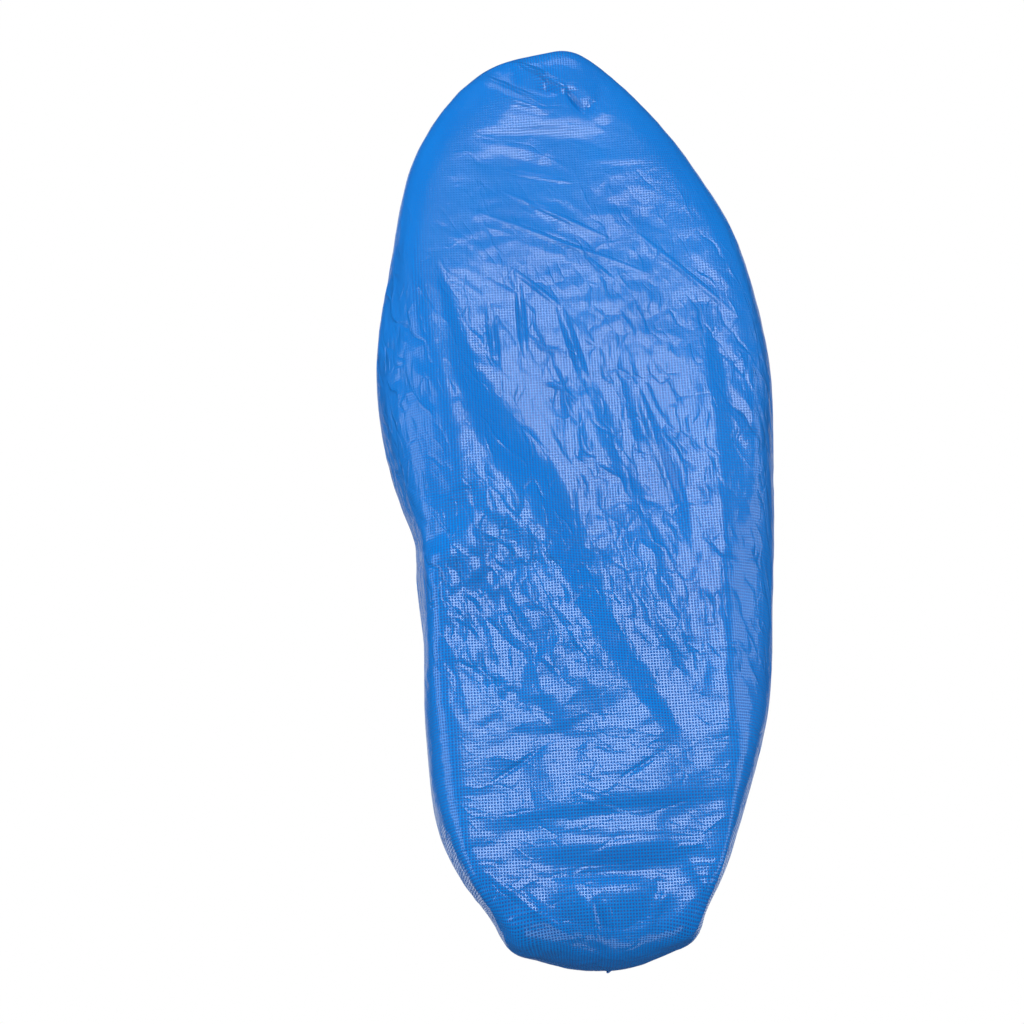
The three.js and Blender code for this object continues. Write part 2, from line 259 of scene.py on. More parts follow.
left_half, right_half = half_film(-1), half_film(1)
smooth = both_halves(left_half, right_half)
flat = both_halves(flat_places(left_half, -1), flat_places(right_half, 1))
outward = np.cross(np.gradient(smooth, axis=1), np.gradient(smooth, axis=0))
outward[[0, -1], :, 0] = 0
outward[:, HALF] = (0, 0, -1)
outward /= norm(outward, axis=2)[:, :, None] + 1e-12

# How far round the rim each column ends, as an angle from the heel by the left side.
rim_share = lengths_along(left_half[:, -1])
rim_angle = np.pi * rim_share / rim_share[-1]
around = both_halves(np.repeat(rim_angle[:, None], HALF + 1, 1),
                     np.repeat(2 * np.pi - rim_angle[:, None], HALF + 1, 1))
steps_down = norm(np.diff(smooth, axis=1), axis=2)
below_rim = both_halves(
    np.pad(np.cumsum(steps_down[:, :HALF], axis=1), ((0, 0), (1, 0)))[:, ::-1],
    np.pad(np.cumsum(steps_down[:, :HALF - 1:-1], axis=1), ((0, 0), (1, 0)))[:, ::-1])


# The gathers, where the elastic draws the film together: sharp ridges at uneven places round the
# rim, each with its own height and width. They die out down the sides.
dice = np.random.default_rng(11)
GATHERS = 92
GATHER_STRAY = 0.35          # how far a gather may be from its even place, in shares of a step
GATHER_RISE = (1.2, 4.6)
GATHER_WIDTH = (0.8, 2.4)
GATHER_LENGTH = 17           # down from the rim
GATHER_SLANT = 0.005         # how much they lean, in radians round the rim per mm down
PUFF = 2.6                   # how far the gathered film swells just under the hem
PUFF_BELOW = 11              # the middle of that swelling, below the rim, and its reach
PUFF_REACH = 9
rim_length = 2 * rim_share[-1]
fine_angles = np.linspace(0, 2 * np.pi, ANGLE_SAMPLES)
gather_line = np.zeros(len(fine_angles))
for number in range(GATHERS):
    centre = 2 * np.pi * (number + dice.uniform(-GATHER_STRAY, GATHER_STRAY)) / GATHERS
    away = np.abs(fine_angles - centre)
    away = np.minimum(away, 2 * np.pi - away) * rim_length / (2 * np.pi)
    gather_line += dice.uniform(*GATHER_RISE) * np.exp(-away / dice.uniform(*GATHER_WIDTH))


def gather_at(angle):
    """How far the gathers stand out at the rim, in mm, all round it."""
    return np.interp(angle % (2 * np.pi), fine_angles, gather_line)


# Long folds under the sole, read from the photograph: each place is a pixel, with half the
# fold's width there. slope is how steep the fold's face is, and the side it faces.
LONG_FOLDS = [
    dict(slope=-0.50, path=[(428, 240, 2), (446, 295, 4), (456, 339, 8), (468, 381, 14),
                            (495, 433, 25), (517, 461, 28), (540, 492, 26), (556, 515, 24),
                            (568, 548, 21), (582, 582, 17), (604, 627, 15), (621, 655, 14),
                            (641, 677, 12), (652, 702, 10), (700, 756, 6)]),
    dict(slope=-0.34, path=[(584, 350, 4), (596, 395, 8), (610, 433, 12), (629, 484, 14),
                            (649, 526, 13), (666, 582, 11), (691, 633, 8), (708, 665, 5)]),
    dict(slope=0.30, path=[(641, 392, 4), (663, 450, 6), (677, 487, 7), (682, 520, 6), (697, 555, 4)]),
    dict(slope=-0.46, path=[(702, 300, 4), (716, 370, 8), (728, 440, 11), (735, 520, 12), (738, 600, 12),
                            (739, 700, 9), (734, 760, 5)]),
    dict(slope=-0.36, path=[(425, 566, 6), (446, 534, 13), (470, 514, 10), (494, 519, 4)]),
    dict(slope=0.34, path=[(470, 828, 3), (495, 823, 4), (560, 814, 6), (620, 803, 8), (680, 799, 8),
                           (724, 800, 5)]),
    dict(slope=0.40, path=[(505, 858, 5), (560, 858, 9), (604, 857, 9), (655, 855, 12), (720, 848, 12)]),
    dict(slope=-0.34, path=[(528, 882, 3), (560, 881, 6), (610, 880, 7), (664, 880, 3)]),
    dict(slope=0.34, path=[(520, 902, 6), (560, 912, 15), (604, 915, 17), (650, 906, 17),
                           (700, 890, 8)]),
    dict(slope=0.28, path=[(460, 130, 4), (500, 126, 7), (560, 126, 9), (612, 126, 9), (642, 134, 3)]),
    dict(slope=0.22, path=[(462, 141, 3), (500, 147, 5), (545, 156, 7), (574, 168, 4)]),
    dict(slope=-0.18, path=[(640, 610, 3), (668, 665, 6), (690, 715, 6), (702, 750, 3)]),
    dict(slope=0.20, path=[(604, 330, 3), (622, 380, 6), (640, 430, 6), (650, 470, 3)]),
    dict(slope=-0.26, path=[(430, 600, 4), (440, 660, 8), (452, 730, 6)]),
    dict(slope=0.42, path=[(396, 215, 3), (406, 280, 7), (420, 350, 14), (436, 430, 19), (448, 490, 12),
                           (446, 540, 6)]),
]
FOLD_REACH = 95              # how far to each side a fold lifts or lowers the film, in pixels
RAMP_SHARE = 0.35            # of a fold's length, over which it rises at each end
LONGEST_RAMP = 65
PX_MM = 0.37                 # what one pixel of the photograph spans on the sole

# Creases read from the photograph, as pixels: ridges stand out and grooves go in.
RIDGES = [
    [(500, 170), (530, 179), (571, 181)],
    [(505, 190), (543, 211), (604, 236)],
    [(479, 213), (558, 236), (651, 273)],
    [(584, 215), (612, 213), (641, 212)],
    [(635, 231), (660, 254), (691, 272), (737, 315)],
    [(579, 255), (596, 267), (616, 282)],
    [(472, 142), (515, 148), (545, 155), (573, 170)],
    [(584, 159), (615, 161), (655, 159)],
    [(456, 130), (500, 127), (560, 125), (612, 130), (640, 138)],
    [(438, 232), (462, 240), (492, 258)],
    [(447, 264), (470, 272), (492, 284)],
    [(512, 270), (534, 283), (560, 305)],
    [(566, 300), (590, 302), (610, 305)],
    [(612, 322), (650, 335), (694, 338)],
    [(458, 350), (485, 366), (512, 378)],
    [(686, 246), (712, 268), (736, 292)],
    [(638, 333), (662, 350), (688, 358)],
    [(481, 498), (495, 501), (500, 523)],
    [(469, 590), (493, 590), (517, 585)],
    [(500, 619), (530, 612), (562, 607)],
    [(458, 604), (466, 635), (478, 663), (517, 683)],
    [(523, 882), (540, 873), (592, 866), (650, 866), (668, 878)],
    [(482, 872), (505, 884), (523, 900), (546, 920), (574, 941)],
]
GROOVES = [
    [(453, 722), (482, 708), (512, 691)],
    [(512, 691), (535, 706), (556, 722)],
    [(495, 730), (550, 735), (601, 736)],
    [(601, 753), (625, 740), (658, 719)],
    [(617, 782), (645, 764), (673, 747)],
    [(490, 782), (520, 768), (543, 748)],
    [(523, 624), (532, 642), (542, 658)],
    [(556, 857), (590, 850), (604, 847), (620, 836), (655, 833)],
    [(464, 830), (530, 831), (600, 838), (660, 836), (719, 836)],
    [(593, 481), (600, 508), (613, 532)],
    [(562, 269), (563, 299)],
    [(604, 305), (622, 322), (636, 336)],
    [(625, 262), (626, 290)],
    [(654, 270), (652, 300)],
    [(540, 381), (550, 400), (566, 409)],
    [(680, 487), (694, 493), (708, 501)],
    [(691, 526), (705, 533), (719, 543)],
]
CREASE_RISE = 0.3
CREASE_WIDTH = 3             # in pixels

# The sharpest ones, too fine for the mesh, which the film's material holds: the pixels of their
# two ends, with their height and half width in mm.
SHARP_CREASES = [
    dict(ends=((487, 300), (498, 372)), rise=-0.8, half_width=2.4),
    dict(ends=((518, 280), (525, 358)), rise=-0.8, half_width=2.2),
    dict(ends=((556, 296), (592, 398)), rise=-0.9, half_width=2.6),
    dict(ends=((634, 378), (686, 524)), rise=-0.9, half_width=2.6),
    dict(ends=((500, 190), (612, 240)), rise=0.4, half_width=1.5),
    dict(ends=((479, 213), (652, 275)), rise=0.45, half_width=1.5),
    dict(ends=((498, 168), (575, 183)), rise=0.35, half_width=1.4),
    dict(ends=((634, 230), (738, 316)), rise=0.4, half_width=1.6),
    dict(ends=((577, 250), (620, 286)), rise=0.35, half_width=1.4),
    dict(ends=((508, 266), (566, 310)), rise=0.35, half_width=1.4),
    dict(ends=((482, 870), (576, 943)), rise=0.6, half_width=2.0),
    dict(ends=((486, 786), (546, 746)), rise=-0.4, half_width=1.4),
    dict(ends=((508, 66), (568, 90)), rise=1.2, half_width=1.8),
    dict(ends=((484, 76), (548, 107)), rise=1.0, half_width=1.8),
    dict(ends=((566, 90), (585, 114)), rise=-0.9, half_width=1.6),
    dict(ends=((589, 898), (600, 942)), rise=0.5, half_width=1.6),
    dict(ends=((605, 900), (612, 946)), rise=0.5, half_width=1.8),
    dict(ends=((614, 784), (662, 753)), rise=-0.4, half_width=1.4),
]

# Deeper forms of the two ends: pockets and pleats, with their own rise in mm and width in
# pixels, and round bulges with their radius.
END_CREASES = [
    dict(path=[(487, 74), (512, 80), (540, 86), (562, 94)], rise=-3.2, width=7),
    dict(path=[(508, 66), (540, 76), (568, 88)], rise=1.6, width=4),
    dict(path=[(480, 80), (500, 96), (522, 104), (546, 112)], rise=1.4, width=4),
    dict(path=[(566, 88), (574, 102), (584, 112)], rise=-1.6, width=4),
    dict(path=[(584, 112), (596, 100), (606, 92)], rise=-1.2, width=4),
    dict(path=[(600, 952), (601, 962), (597, 978)], rise=-1.6, width=5),
    dict(path=[(587, 898), (594, 918), (601, 942)], rise=1.3, width=4),
    dict(path=[(604, 900), (612, 922), (612, 944)], rise=0.9, width=4),
    dict(path=[(566, 950), (584, 953), (602, 957)], rise=-2.2, width=5),
    dict(path=[(520, 890), (546, 915), (566, 940)], rise=1.2, width=5),
    dict(path=[(668, 888), (655, 915), (640, 940)], rise=1.2, width=5),
]
BULGES = [
    dict(centre=(522, 938), radius=26, rise=4.0),
    dict(centre=(692, 938), radius=26, rise=4.2),
    dict(centre=(568, 58), radius=24, rise=1.6),
    dict(centre=(400, 545), radius=30, rise=-2.5),
]


def in_photo(places):
    """The pixels of the photograph where places in mm show."""
    offset = places * MM - np.array(camera_place)
    depth = offset @ np.array(view_ahead)
    across = offset @ np.array(view_right) / depth
    upward = offset @ np.array(view_up) / depth
    return PHOTO_SIZE / 2 + FOCAL_PX * np.stack([across, -upward], axis=-1)


def near_line(points, path):
    """The signed distance of points from a line of places, and how far along it they lie."""
    distance = np.full(len(points), np.inf)
    along = np.zeros(len(points))
    length = lengths_along(path)
    for start, end, travelled in zip(path[:-1], path[1:], length):
        step = end - start
        share = np.clip((points - start) @ step / (step @ step), 0, 1)
        away = points - start - share[:, None] * step
        turned = np.where(step[0] * away[:, 1] - step[1] * away[:, 0] < 0, 1, -1)
        here = np.hypot(away[:, 0], away[:, 1])
        nearer = here < np.abs(distance)
        distance = np.where(nearer, here * turned, distance)
        along = np.where(nearer, travelled + share * norm(step), along)
    return distance, along


def rounded(path):
    """A line of places with its corners cut round."""
    path = np.array(path, float)
    for _ in range(2):
        cut = np.stack([mix(path[:-1], path[1:], 0.25), mix(path[:-1], path[1:], 0.75)], axis=1)
        path = np.concatenate((path[:1], cut.reshape(-1, path.shape[1]), path[-1:]))
    return path


def add_fold(height, points, path, slope, reach):
    """Adds one long fold, whose face slopes up from one side to the other. The third value of
    each place of its path is half its width."""
    path = rounded(path)
    distance, along = near_line(points, path[:, :2])
    length = lengths_along(path[:, :2])
    half = np.interp(along, length, path[:, 2])
    ramp = min(RAMP_SHARE * length[-1], LONGEST_RAMP)
    ending = np.clip(np.minimum(along, length[-1] - along) / ramp, 0, 1)
    fade = ending ** 2 * (3 - 2 * ending) * np.exp(-(np.abs(distance) / reach) ** 1.5)
    aside = distance / half
    height += slope * half * aside / (1 + np.abs(aside) ** 4) ** 0.25 * fade


def add_crease(height, points, path, rise, width):
    """Adds one sharp crease, which stands out where rise is above 0 and is a quarter as high at
    its two ends."""
    path = np.array(path, float)
    reach = 6 * width
    near = np.all((points > path.min(axis=0) - reach) & (points < path.max(axis=0) + reach), axis=1)
    distance, along = near_line(points[near], path)
    share = along / lengths_along(path)[-1]
    ending = np.clip(5 * np.minimum(share, 1 - share), 0, 1)
    height[near] += rise * np.exp(-np.abs(distance) / width) * (0.25 + 0.75 * ending)


def add_waves(height, points, count, shortest, longest, rise):
    """Adds a sum of seeded waves, each with its own direction and length."""
    for _ in range(count):
        length = dice.uniform(shortest, longest)
        heading, phase = dice.uniform(0, 2 * np.pi, 2)
        travelled = points[:, 0] * np.cos(heading) + points[:, 1] * np.sin(heading)
        height += rise / math.sqrt(count) * np.sin(2 * np.pi * travelled / length + phase)


# What was read from the photograph fades out where the film turns away from the camera, between
# two cosines. The bulges go on round the edge, as far as a third one.
FACE_ON = 0.6136
EDGE_ON = 0.159
BEHIND = -0.6
photo_points = in_photo(smooth).reshape(-1, 2)
flat_points = flat.reshape(-1, 2)
toward_camera = -(outward @ np.array(view_ahead)).reshape(-1)
faces_camera = np.clip((toward_camera - EDGE_ON) / (FACE_ON - EDGE_ON), 0, 1)
read_height = np.zeros(len(photo_points))
for fold in LONG_FOLDS:
    add_fold(read_height, photo_points, fold["path"], fold["slope"] * PX_MM, FOLD_REACH)
for path in RIDGES:
    add_crease(read_height, photo_points, path, CREASE_RISE, CREASE_WIDTH)
for path in GROOVES:
    add_crease(read_height, photo_points, path, -CREASE_RISE, CREASE_WIDTH)
for crease in END_CREASES:
    add_crease(read_height, photo_points, crease["path"], crease["rise"], crease["width"])
read_height *= faces_camera
for bulge in BULGES:
    away = norm(photo_points - bulge["centre"], axis=1) / bulge["radius"]
    read_height += bulge["rise"] * np.exp(-away ** 2) * (toward_camera > BEHIND)


def on_film(pixel):
    """Where on the film, in mm, a pixel of the photograph shows."""
    away = norm(photo_points - pixel, axis=1) + 1e4 * (toward_camera < 0.1)
    nearest = np.argsort(away)[:4]
    return np.average(flat_points[nearest], axis=0, weights=1 / (away[nearest] + 0.1))


# Small creases by region of the sole: their number, their middle heading in degrees from +X
# with the spread of it, and how long and how high they are, in mm.
CREASE_REGIONS = [
    dict(low=(-50, -165), high=(50, -100), count=30, heading=20, spread=25, longest=30, rise=0.16),
    dict(low=(-62, -105), high=(64, -50), count=35, heading=30, spread=25, longest=34, rise=0.16),
    dict(low=(-60, -55), high=(62, 40), count=60, heading=68, spread=25, longest=38, rise=0.22),
    dict(low=(-58, 20), high=(0, 95), count=70, heading=60, spread=80, longest=24, rise=0.40),
    dict(low=(0, 30), high=(55, 95), count=40, heading=75, spread=30, longest=26, rise=0.25),
    dict(low=(-52, 90), high=(52, 150), count=50, heading=-8, spread=18, longest=34, rise=0.2),
    dict(low=(-50, 145), high=(50, 185), count=40, heading=80, spread=50, longest=18, rise=0.45),
]
SHORTEST_SHARE = 0.3         # of the longest crease of a region
CREASE_BEND = 0.35
CREASE_HEIGHTS = (0.4, 1.4)  # shares of the region's rise
CREASE_WIDTHS = (1.3, 2.4)
small_height = np.zeros(len(flat_points))
for region in CREASE_REGIONS:
    for _ in range(region["count"]):
        middle = dice.uniform(region["low"], region["high"])
        heading = math.radians(region["heading"] + region["spread"] * dice.normal() / 1.5)
        long = dice.uniform(SHORTEST_SHARE, 1) * region["longest"]
        bend = dice.uniform(-CREASE_BEND, CREASE_BEND)
        arms = [np.array([math.cos(heading + turn), math.sin(heading + turn)]) for turn in (-bend, bend)]
        path = [middle - arms[0] * long / 2, middle, middle + arms[1] * long / 2]
        rise = region["rise"] * dice.uniform(*CREASE_HEIGHTS) * dice.choice((-1, 1))
        add_crease(small_height, flat_points, path, rise, dice.uniform(*CREASE_WIDTHS))

# Between the creases the film is softly uneven, with fine ripples.
RIPPLE_RISE = 0.12
soft_height = np.zeros(len(flat_points))
add_waves(soft_height, flat_points, count=9, shortest=36, longest=80, rise=0.4)
ripple = np.zeros(len(flat_points))
add_waves(ripple, flat_points, count=10, shortest=12, longest=30, rise=1)
soft_height += RIPPLE_RISE * (1 - np.abs(ripple))

# Folds of the sides, which hang from the rim and lean towards the toe. Places are how far from
# the heel round the side, from 0 to 1, and how far below the rim as a share of WALL_DEPTH.
WALL_DEPTH = 105
SIDE_LENGTH = 300
DRAPE_SWAY = 2.7             # how far a fold winds, for each whole length that it leans
DRAPE_DEPTH = 2.6
DRAPE_REACH = 26
CREST_SHARE = 0.3            # the folds go in more than they stand out
FROM_WELDS = 12              # the folds die out within this distance of the welds
DRAPE_HEIGHTS = (18, 48)     # and between these heights above the sole
HEM_FADE = 8                 # all folds die out this close under the rim
DRAPES = [
    dict(side=-1, top=(0.10, 0.05), low=(0.07, 0.70), half=7, slope=-0.35),
    dict(side=-1, top=(0.24, 0.05), low=(0.30, 0.60), half=6, slope=0.40),
    dict(side=-1, top=(0.38, 0.04), low=(0.47, 0.75), half=7, slope=-0.50),
    dict(side=-1, top=(0.52, 0.04), low=(0.64, 0.80), half=8, slope=0.50),
    dict(side=-1, top=(0.62, 0.03), low=(0.78, 0.75), half=7, slope=-0.50),
    dict(side=-1, top=(0.75, 0.03), low=(0.89, 0.60), half=7, slope=0.45),
    dict(side=-1, top=(0.88, 0.03), low=(0.95, 0.55), half=5, slope=-0.40),
    dict(side=1, top=(0.08, 0.05), low=(0.10, 0.65), half=7, slope=0.40),
    dict(side=1, top=(0.20, 0.04), low=(0.23, 0.75), half=8, slope=-0.42),
    dict(side=1, top=(0.33, 0.05), low=(0.42, 0.65), half=6, slope=0.45),
    dict(side=1, top=(0.46, 0.03), low=(0.57, 0.80), half=8, slope=-0.50),
    dict(side=1, top=(0.58, 0.03), low=(0.72, 0.75), half=7, slope=0.52),
    dict(side=1, top=(0.70, 0.03), low=(0.84, 0.70), half=8, slope=-0.50),
    dict(side=1, top=(0.84, 0.03), low=(0.93, 0.60), half=6, slope=0.45),
]
columns_mm = np.repeat(np.linspace(0, SIDE_LENGTH, COLUMNS + 1)[:, None], 2 * HALF + 1, 1)
side_points = np.stack([columns_mm, below_rim], axis=2).reshape(-1, 2)
sides = np.repeat(np.sign(np.arange(-HALF, HALF + 1))[None], COLUMNS + 1, 0).reshape(-1)
drape_height = np.zeros(len(side_points))
for drape in DRAPES:
    here = sides == drape["side"]
    (top, start), (low, end) = drape["top"], drape["low"]
    path = [(mix(top, low, share) * SIDE_LENGTH + DRAPE_SWAY * (low - top) * math.sin(7 * share),
             mix(start, end, share) * WALL_DEPTH,
             drape["half"] * (0.35 + 0.9 * share)) for share in (0, 0.2, 0.4, 0.6, 0.8, 1)]
    one_fold = np.zeros(here.sum())
    add_fold(one_fold, side_points[here], path, DRAPE_DEPTH * drape["slope"], DRAPE_REACH)
    drape_height[here] += one_fold
drape_height *= np.where(drape_height > 0, CREST_SHARE, 1)
to_weld = np.minimum(columns_mm, SIDE_LENGTH - columns_mm).reshape(-1)
drape_height *= np.clip(to_weld / FROM_WELDS, 0, 1)
drape_height *= np.interp(smooth[:, :, 2].reshape(-1), DRAPE_HEIGHTS, (0, 1))

height = (read_height + small_height + soft_height + drape_height).reshape(smooth.shape[:2])
height *= np.clip(below_rim / HEM_FADE, 0, 1)
slant = GATHER_SLANT * np.sin(6 * around) * below_rim
gathered = (gather_at(around + slant) * np.exp(-(below_rim / GATHER_LENGTH) ** 1.2)
            + PUFF * np.exp(-((below_rim - PUFF_BELOW) / PUFF_REACH) ** 2))
rim_out = both_halves(np.repeat(level_out(left_half[:, -1], -1)[:, None], HALF + 1, 1),
                      np.repeat(level_out(right_half[:, -1], 1)[:, None], HALF + 1, 1))
film_places = smooth + outward * height[:, :, None]
film_places[:, :, :2] += rim_out * gathered[:, :, None]


def grid_piece(name, across, along, place_at, closes):
    """A mesh piece bent from a flat grid. place_at gives the place in mm of each column and row,
    and where that is on the film."""
    shell = bmesh.new()
    bmesh.ops.create_grid(shell, x_segments=across, y_segments=along, size=1)
    uv = shell.loops.layers.uv.new("film_mm")
    where = {}
    for vertex in shell.verts:
        column = round((vertex.co.x + 1) / 2 * across)
        row = round((vertex.co.y + 1) / 2 * along)
        place, where[vertex] = place_at(column, row)
        vertex.co = Vector(place) * MM
    for face in shell.faces:
        face.smooth = True
        for loop in face.loops:
            loop[uv].uv = where[loop.vert]
    if closes:
        bmesh.ops.remove_doubles(shell, verts=shell.verts, dist=WELD_WITHIN * MM)
    bmesh.ops.recalc_face_normals(shell, faces=shell.faces)
    mesh = bpy.data.meshes.new(name)
    shell.to_mesh(mesh)
    shell.free()
    piece = bpy.data.objects.new(name, mesh)
    scene.collection.objects.link(piece)
    return piece


def give_thickness(piece, thickness):
    wall = piece.modifiers.new("thickness", "SOLIDIFY")
    wall.thickness = thickness * MM
    wall.offset = -1


film = grid_piece("film_sheet", COLUMNS, 2 * HALF,
                  lambda column, row: (film_places[column, row], flat[column, row]), True)
middle_face = min(film.data.polygons, key=lambda face: face.center.length)
if middle_face.normal.z > 0:
    film.data.flip_normals()
give_thickness(film, FILM_THICKNESS)


def linear(hex_colour):
    channels = [int(hex_colour[i:i + 2], 16) / 255 for i in (1, 3, 5)]
    return [c / 12.92 if c <= 0.04045 else ((c + 0.055) / 1.055) ** 2.4 for c in channels] + [1]


def add_node(tree, kind, sockets=None, **settings):
    """Adds a node with its settings, fills its sockets with values or links, and gives its
    first output."""
    node = tree.nodes.new(kind)
    for name, value in settings.items():
        setattr(node, name, value)
    for socket, value in (sockets or {}).items():
        if isinstance(value, bpy.types.NodeSocket):
            tree.links.new(value, node.inputs[socket])
        else:
            node.inputs[socket].default_value = value
    return next((output for output in node.outputs if output.enabled), None)


def new_material(name):
    material = bpy.data.materials.new(name)
    material.use_nodes = True
    material.node_tree.nodes.clear()
    return material, material.node_tree


# Embossed polyethylene film. Cast glossy, then pressed between a rubber roll and a roll with
# small square teeth 1 mm apart. The film shines in a light; the pits stay dull, with painted shade.
EMBOSS_PITCH = 1.05
PIT_SHARE = 0.78             # where a pit ends, on a sine that is 1 half-way to the next
PIT_EDGE = 0.16
PIT_DEPTH = 0.03
PIT_ROUGHNESS = 0.65
FILM_ROUGHNESS = 0.18
FILM_BLUE = "#007fd8"
FILM_DEEP = "#0071c7"
# the deep blue of the painted shade in the pits
PIT_SHADE_BLUE = "#003586"
film_finish, tree = new_material("polyethylene film, embossed")
coords = add_node(tree, "ShaderNodeUVMap", uv_map="film_mm")
split = add_node(tree, "ShaderNodeSeparateXYZ", {0: coords}).node
rows = []
for axis in "XY":
    turned = add_node(tree, "ShaderNodeMath", {0: split.outputs[axis], 1: math.pi / EMBOSS_PITCH},
                      operation="MULTIPLY")
    wave = add_node(tree, "ShaderNodeMath", {0: turned}, operation="SINE")
    rows.append(add_node(tree, "ShaderNodeMath", {0: wave}, operation="ABSOLUTE"))
from_pit = add_node(tree, "ShaderNodeMath", {0: rows[0], 1: rows[1]}, operation="MAXIMUM")
between = add_node(tree, "ShaderNodeMapRange", {
    "Value": from_pit, "From Min": PIT_SHARE - PIT_EDGE, "From Max": PIT_SHARE + PIT_EDGE},
    interpolation_type="SMOOTHSTEP")
clouds = add_node(tree, "ShaderNodeTexNoise", {"Vector": coords, "Scale": 0.03, "Detail": 1})
blue = add_node(tree, "ShaderNodeMix", {
    "Factor": clouds, 6: linear(FILM_DEEP), 7: linear(FILM_BLUE)}, data_type="RGBA")
# Painted shade: the pits' colour is darkened most of the way to a deep blue.
pit_painted_shade = add_node(tree, "ShaderNodeMix", {
    "Factor": 0.85, 6: blue, 7: linear(PIT_SHADE_BLUE)}, data_type="RGBA")
colour = add_node(tree, "ShaderNodeMix", {"Factor": between, 6: pit_painted_shade, 7: blue}, data_type="RGBA")
roughness = add_node(tree, "ShaderNodeMapRange", {
    "Value": between, "To Min": PIT_ROUGHNESS, "To Max": FILM_ROUGHNESS})

# Its finest creases make long facets. Some stand out, some go in, and some places have none. The
# headings are in degrees from +X, one for under the foot and one for each end of it. A cell is as
# long and as wide as a facet, slope is how steep its sides are, and line how deep its edges.
FACETS = [
    dict(heading=64, at_toe=20, at_heel=-6, cell=(34, 9), slope=0.10, line=0.20, patch_scale=0.045),
    dict(heading=82, at_toe=-8, at_heel=14, cell=(13, 5), slope=0.05, line=0.10, patch_scale=0.075),
]
FACET_STRAY = 9              # how far the facets' edges wander
EDGE_SHARE = 0.085           # of a cell's width that its edges take
ARCH_PLACE = 18              # the arch is this far towards the toe
ARCH_REACH = (90, 116)       # from there, the facets turn to the heading of the ends
TOE_CALM = (-105, -35)       # the toe is calmer up to here
SIDE_ROUGH = (55, 80)        # and the sides are rougher from here
ROUGH_PATCH = (-28, 48)      # where the foot has crumpled the film most
PATCH_REACH = (20, 50)
SMALL_RISE = 0.13
warp = add_node(tree, "ShaderNodeTexNoise", {"Vector": coords, "Scale": 0.07, "Detail": 1}).node
strayed = add_node(tree, "ShaderNodeVectorMath", {
    0: warp.outputs["Color"], 1: (FACET_STRAY, FACET_STRAY, 0)}, operation="MULTIPLY")
moved = add_node(tree, "ShaderNodeVectorMath", {0: coords, 1: strayed}, operation="ADD")
past_arch = add_node(tree, "ShaderNodeMath", {0: split.outputs["Y"], 1: ARCH_PLACE}, operation="ADD")
from_arch = add_node(tree, "ShaderNodeMath", {0: past_arch}, operation="ABSOLUTE")
at_ends = add_node(tree, "ShaderNodeMapRange", {
    "Value": from_arch, "From Min": ARCH_REACH[0], "From Max": ARCH_REACH[1]})
crumple = 0
for facet in FACETS:
    end_heading = add_node(tree, "ShaderNodeMapRange", {
        "Value": split.outputs["Y"], "From Min": -9, "From Max": 9,
        "To Min": math.radians(facet["at_toe"]), "To Max": math.radians(facet["at_heel"])})
    end_turn = add_node(tree, "ShaderNodeCombineXYZ", {"Z": end_heading})
    ways = []
    for turn in ((0, 0, math.radians(facet["heading"])), end_turn):
        turned = add_node(tree, "ShaderNodeMapping", {
            "Vector": moved, "Rotation": turn, "Scale": (*facet["cell"], 1)}, vector_type="TEXTURE")
        ways.append(add_node(tree, "ShaderNodeTexVoronoi", {"Vector": turned, "Scale": 1},
                             feature="DISTANCE_TO_EDGE", voronoi_dimensions="2D"))
    edge = add_node(tree, "ShaderNodeMix", {"Factor": at_ends, 2: ways[0], 3: ways[1]},
                    data_type="FLOAT")
    side = add_node(tree, "ShaderNodeMath", {0: edge, 1: facet["slope"] * facet["cell"][1]},
                    operation="MULTIPLY")
    line = add_node(tree, "ShaderNodeMapRange", {
        "Value": edge, "From Max": EDGE_SHARE, "To Min": -facet["line"], "To Max": 0})
    shape = add_node(tree, "ShaderNodeMath", {0: side, 1: line}, operation="ADD")
    patches = add_node(tree, "ShaderNodeTexNoise", {
        "Vector": coords, "Scale": facet["patch_scale"], "Detail": 1})
    sign = add_node(tree, "ShaderNodeMapRange", {
        "Value": patches, "From Min": 0.34, "From Max": 0.66, "To Min": -1, "To Max": 1})
    crumple = add_node(tree, "ShaderNodeMath", {0: shape, 1: sign, 2: crumple},
                       operation="MULTIPLY_ADD")
toward_toe = add_node(tree, "ShaderNodeMapRange", {
    "Value": split.outputs["Y"], "From Min": TOE_CALM[0], "From Max": TOE_CALM[1],
    "To Min": 0.35, "To Max": 1})
crumple = add_node(tree, "ShaderNodeMath", {0: crumple, 1: toward_toe}, operation="MULTIPLY")
from_middle = add_node(tree, "ShaderNodeMath", {0: split.outputs["X"]}, operation="ABSOLUTE")
on_side = add_node(tree, "ShaderNodeMapRange", {
    "Value": from_middle, "From Min": SIDE_ROUGH[0], "From Max": SIDE_ROUGH[1],
    "To Min": 1, "To Max": 2.4})
crumple = add_node(tree, "ShaderNodeMath", {0: crumple, 1: on_side}, operation="MULTIPLY")
small = add_node(tree, "ShaderNodeTexNoise", {"Vector": coords, "Scale": 0.25, "Detail": 3})
crumple = add_node(tree, "ShaderNodeMath", {0: small, 1: SMALL_RISE, 2: crumple},
                   operation="MULTIPLY_ADD")
calmer = add_node(tree, "ShaderNodeMapRange", {"Value": at_ends, "To Min": 1, "To Max": 0.6})
patch = add_node(tree, "ShaderNodeVectorMath", {0: coords, 1: (*ROUGH_PATCH, 0)},
                 operation="DISTANCE").node
rougher = add_node(tree, "ShaderNodeMapRange", {
    "Value": patch.outputs["Value"], "From Min": PATCH_REACH[0], "From Max": PATCH_REACH[1],
    "To Min": 1.9, "To Max": calmer}, interpolation_type="SMOOTHSTEP")
crumple = add_node(tree, "ShaderNodeMath", {0: crumple, 1: rougher}, operation="MULTIPLY")
